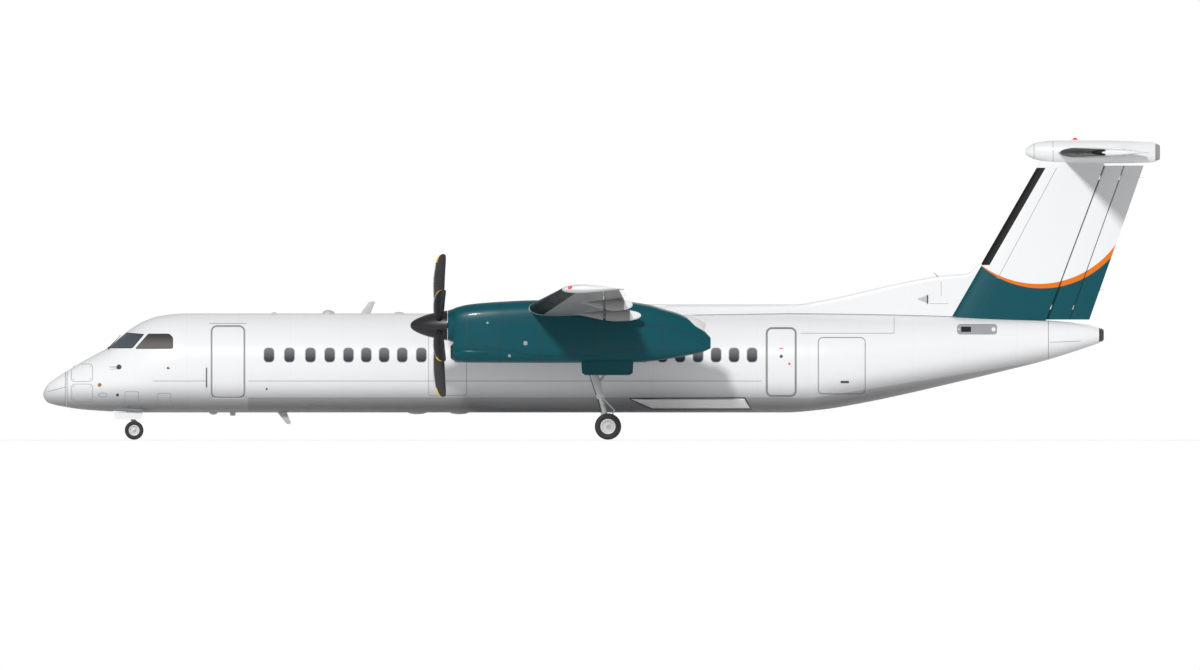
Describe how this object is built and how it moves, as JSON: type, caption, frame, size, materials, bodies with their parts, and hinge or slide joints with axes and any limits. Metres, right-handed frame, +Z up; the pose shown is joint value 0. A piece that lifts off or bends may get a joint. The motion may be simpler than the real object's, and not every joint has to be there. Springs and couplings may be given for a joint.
{
  "type": "turboprop airliner",
  "caption": "High-wing T-tail turboprop airliner standing on its gear, with turning propellers and wheels, steered nose gear, folding airstair and moving control surfaces.",
  "frame": {"origin": "middle of the aircraft's bounding box, on the ground that the wheels stand on", "axes": "+X aft along the fuselage with the nose towards -X, +Y to starboard, +Z up"},
  "size_m": [32.81, 28.42, 8.88],
  "materials": {
    "white_paint": "gloss",
    "teal_paint": "gloss",
    "wing_grey": "satin",
    "glazing": "gloss",
    "propeller_black": "satin",
    "bare_metal": "satin",
    "gear_grey": "satin",
    "tyre_rubber": "matte",
    "engine_grey": "satin"
  },
  "bodies": {
    "airframe": {"aft_passenger_door": "white_paint", "aft_service_door": "white_paint", "baggage_door": "white_paint", "belly_fairing_port": "white_paint", "belly_fairing_starboard": "white_paint", "bullet_fairing": "white_paint", "dorsal_fin": "white_paint", "engine_block_port": "engine_grey", "engine_block_starboard": "engine_grey", "engine_cowl_port": "teal_paint", "engine_cowl_starboard": "teal_paint", "exhaust_port": "bare_metal", "exhaust_starboard": "bare_metal", "fin": "white_paint", "forward_service_door": "white_paint", "fuselage": "white_paint", "main_leg_port": "gear_grey", "main_leg_starboard": "gear_grey", "nacelle_rear_port": "teal_paint", "nacelle_rear_starboard": "teal_paint", "nose_leg": "gear_grey", "radome": "white_paint", "side_window_port": "glazing", "side_window_starboard": "glazing", "tail_cone": "white_paint", "tailplane_port": "wing_grey", "tailplane_starboard": "wing_grey", "windscreen_port": "glazing", "windscreen_starboard": "glazing", "wing_centre": "wing_grey", "wing_fairing": "white_paint", "wing_outer_port": "wing_grey", "wing_outer_starboard": "wing_grey"},
    "nose_steering": {"nose_steering": "gear_grey"},
    "nose_wheels": {"nose_rims": "gear_grey", "nose_tyre_left": "tyre_rubber", "nose_tyre_right": "tyre_rubber"},
    "airstair": {"airstair_door": "white_paint"},
    "fore_rudder": {"fore_rudder": "white_paint"},
    "trailing_rudder": {"trailing_rudder": "white_paint"},
    "propeller_port": {"propeller_port": "propeller_black", "spinner_port": "propeller_black"},
    "main_wheels_port": {"main_port_rims": "gear_grey", "main_port_tyre_left": "tyre_rubber", "main_port_tyre_right": "tyre_rubber"},
    "outboard_flap_port": {"outboard_flap_port": "wing_grey"},
    "inboard_flap_port": {"inboard_flap_port": "wing_grey"},
    "aileron_port": {"aileron_port": "wing_grey"},
    "spoiler_port": {"spoiler_port": "wing_grey"},
    "elevator_port": {"elevator_port": "wing_grey"},
    "propeller_starboard": {"propeller_starboard": "propeller_black", "spinner_starboard": "propeller_black"},
    "main_wheels_starboard": {"main_starboard_rims": "gear_grey", "main_starboard_tyre_left": "tyre_rubber", "main_starboard_tyre_right": "tyre_rubber"},
    "outboard_flap_starboard": {"outboard_flap_starboard": "wing_grey"},
    "inboard_flap_starboard": {"inboard_flap_starboard": "wing_grey"},
    "aileron_starboard": {"aileron_starboard": "wing_grey"},
    "spoiler_starboard": {"spoiler_starboard": "wing_grey"},
    "elevator_starboard": {"elevator_starboard": "wing_grey"}
  },
  "joints": [
    {"name": "nose_steering_turn", "type": "hinge", "parent": "airframe", "child": "nose_steering", "pos_m": [-13.76, 0, 0.62], "axis": [0, 0, 1], "range_deg": [-70, 70]},
    {"name": "nose_wheels_roll", "type": "hinge", "parent": "nose_steering", "child": "nose_wheels", "pos_m": [-13.73, 0, 0.27655], "axis": [0, 1, 0], "continuous": true},
    {"name": "airstair_hinge", "type": "hinge", "parent": "airframe", "child": "airstair", "pos_m": [-10.973, -0.95587, 1.278], "axis": [1, 0, 0], "range_deg": [0, 120]},
    {"name": "fore_rudder_hinge", "type": "hinge", "parent": "airframe", "child": "fore_rudder", "pos_m": [13.195, 0, 3.53], "axis": [0.346, 0, 0.9382], "range_deg": [-15, 15]},
    {"name": "trailing_rudder_hinge", "type": "hinge", "parent": "fore_rudder", "child": "trailing_rudder", "pos_m": [13.8, 0, 3.53], "axis": [0.3337, 0, 0.9427], "range_deg": [-15, 15]},
    {"name": "propeller_port_spin", "type": "hinge", "parent": "airframe", "child": "propeller_port", "pos_m": [-4.763, -4.4, 3.357], "axis": [1, 0, 0], "continuous": true},
    {"name": "main_wheels_port_roll", "type": "hinge", "parent": "airframe", "child": "main_wheels_port", "pos_m": [0.19, -4.4, 0.39014], "axis": [0, 1, 0], "continuous": true},
    {"name": "outboard_flap_port_hinge", "type": "hinge", "parent": "airframe", "child": "outboard_flap_port", "pos_m": [0.064, -7.8225, 3.76954], "axis": [0, 0.9975, -0.0712], "range_deg": [0, 35]},
    {"name": "inboard_flap_port_hinge", "type": "hinge", "parent": "airframe", "child": "inboard_flap_port", "pos_m": [0.064, -2.4825, 3.52467], "axis": [0, 1, 0], "range_deg": [0, 35]},
    {"name": "aileron_port_hinge", "type": "hinge", "parent": "airframe", "child": "aileron_port", "pos_m": [0.14285, -12.16, 4.32738], "axis": [0.007, 0.998, -0.0627], "range_deg": [-20, 20]},
    {"name": "spoiler_port_hinge", "type": "hinge", "parent": "airframe", "child": "spoiler_port", "pos_m": [-0.39, -7.175, 4.18287], "axis": [0, -0.9986, 0.052], "range_deg": [0, 60]},
    {"name": "elevator_port_hinge", "type": "hinge", "parent": "airframe", "child": "elevator_port", "pos_m": [15.4304, -2.45, 8.438], "axis": [-0.0613, 0.9981, 0], "range_deg": [-25, 20]},
    {"name": "propeller_starboard_spin", "type": "hinge", "parent": "airframe", "child": "propeller_starboard", "pos_m": [-4.763, 4.4, 3.357], "axis": [1, 0, 0], "continuous": true},
    {"name": "main_wheels_starboard_roll", "type": "hinge", "parent": "airframe", "child": "main_wheels_starboard", "pos_m": [0.19, 4.4, 0.39014], "axis": [0, 1, 0], "continuous": true},
    {"name": "outboard_flap_starboard_hinge", "type": "hinge", "parent": "airframe", "child": "outboard_flap_starboard", "pos_m": [0.064, 7.8225, 3.76954], "axis": [0, 0.9975, 0.0712], "range_deg": [0, 35]},
    {"name": "inboard_flap_starboard_hinge", "type": "hinge", "parent": "airframe", "child": "inboard_flap_starboard", "pos_m": [0.064, 2.4825, 3.52467], "axis": [0, 1, 0], "range_deg": [0, 35]},
    {"name": "aileron_starboard_hinge", "type": "hinge", "parent": "airframe", "child": "aileron_starboard", "pos_m": [0.14285, 12.16, 4.32738], "axis": [-0.007, 0.998, 0.0627], "range_deg": [-20, 20]},
    {"name": "spoiler_starboard_hinge", "type": "hinge", "parent": "airframe", "child": "spoiler_starboard", "pos_m": [-0.39, 7.175, 4.18287], "axis": [0, -0.9986, -0.052], "range_deg": [0, 60]},
    {"name": "elevator_starboard_hinge", "type": "hinge", "parent": "airframe", "child": "elevator_starboard", "pos_m": [15.4304, 2.45, 8.438], "axis": [0.0613, 0.9981, 0], "range_deg": [-25, 20]}
  ],
  "couplings": [
    {"joint": "trailing_rudder_hinge", "follows": "fore_rudder_hinge", "ratio": 1},
    {"joint": "outboard_flap_starboard_hinge", "follows": "outboard_flap_port_hinge", "ratio": 1},
    {"joint": "inboard_flap_port_hinge", "follows": "outboard_flap_port_hinge", "ratio": 1},
    {"joint": "inboard_flap_starboard_hinge", "follows": "outboard_flap_port_hinge", "ratio": 1},
    {"joint": "aileron_starboard_hinge", "follows": "aileron_port_hinge", "ratio": -1},
    {"joint": "elevator_starboard_hinge", "follows": "elevator_port_hinge", "ratio": 1}
  ]
}
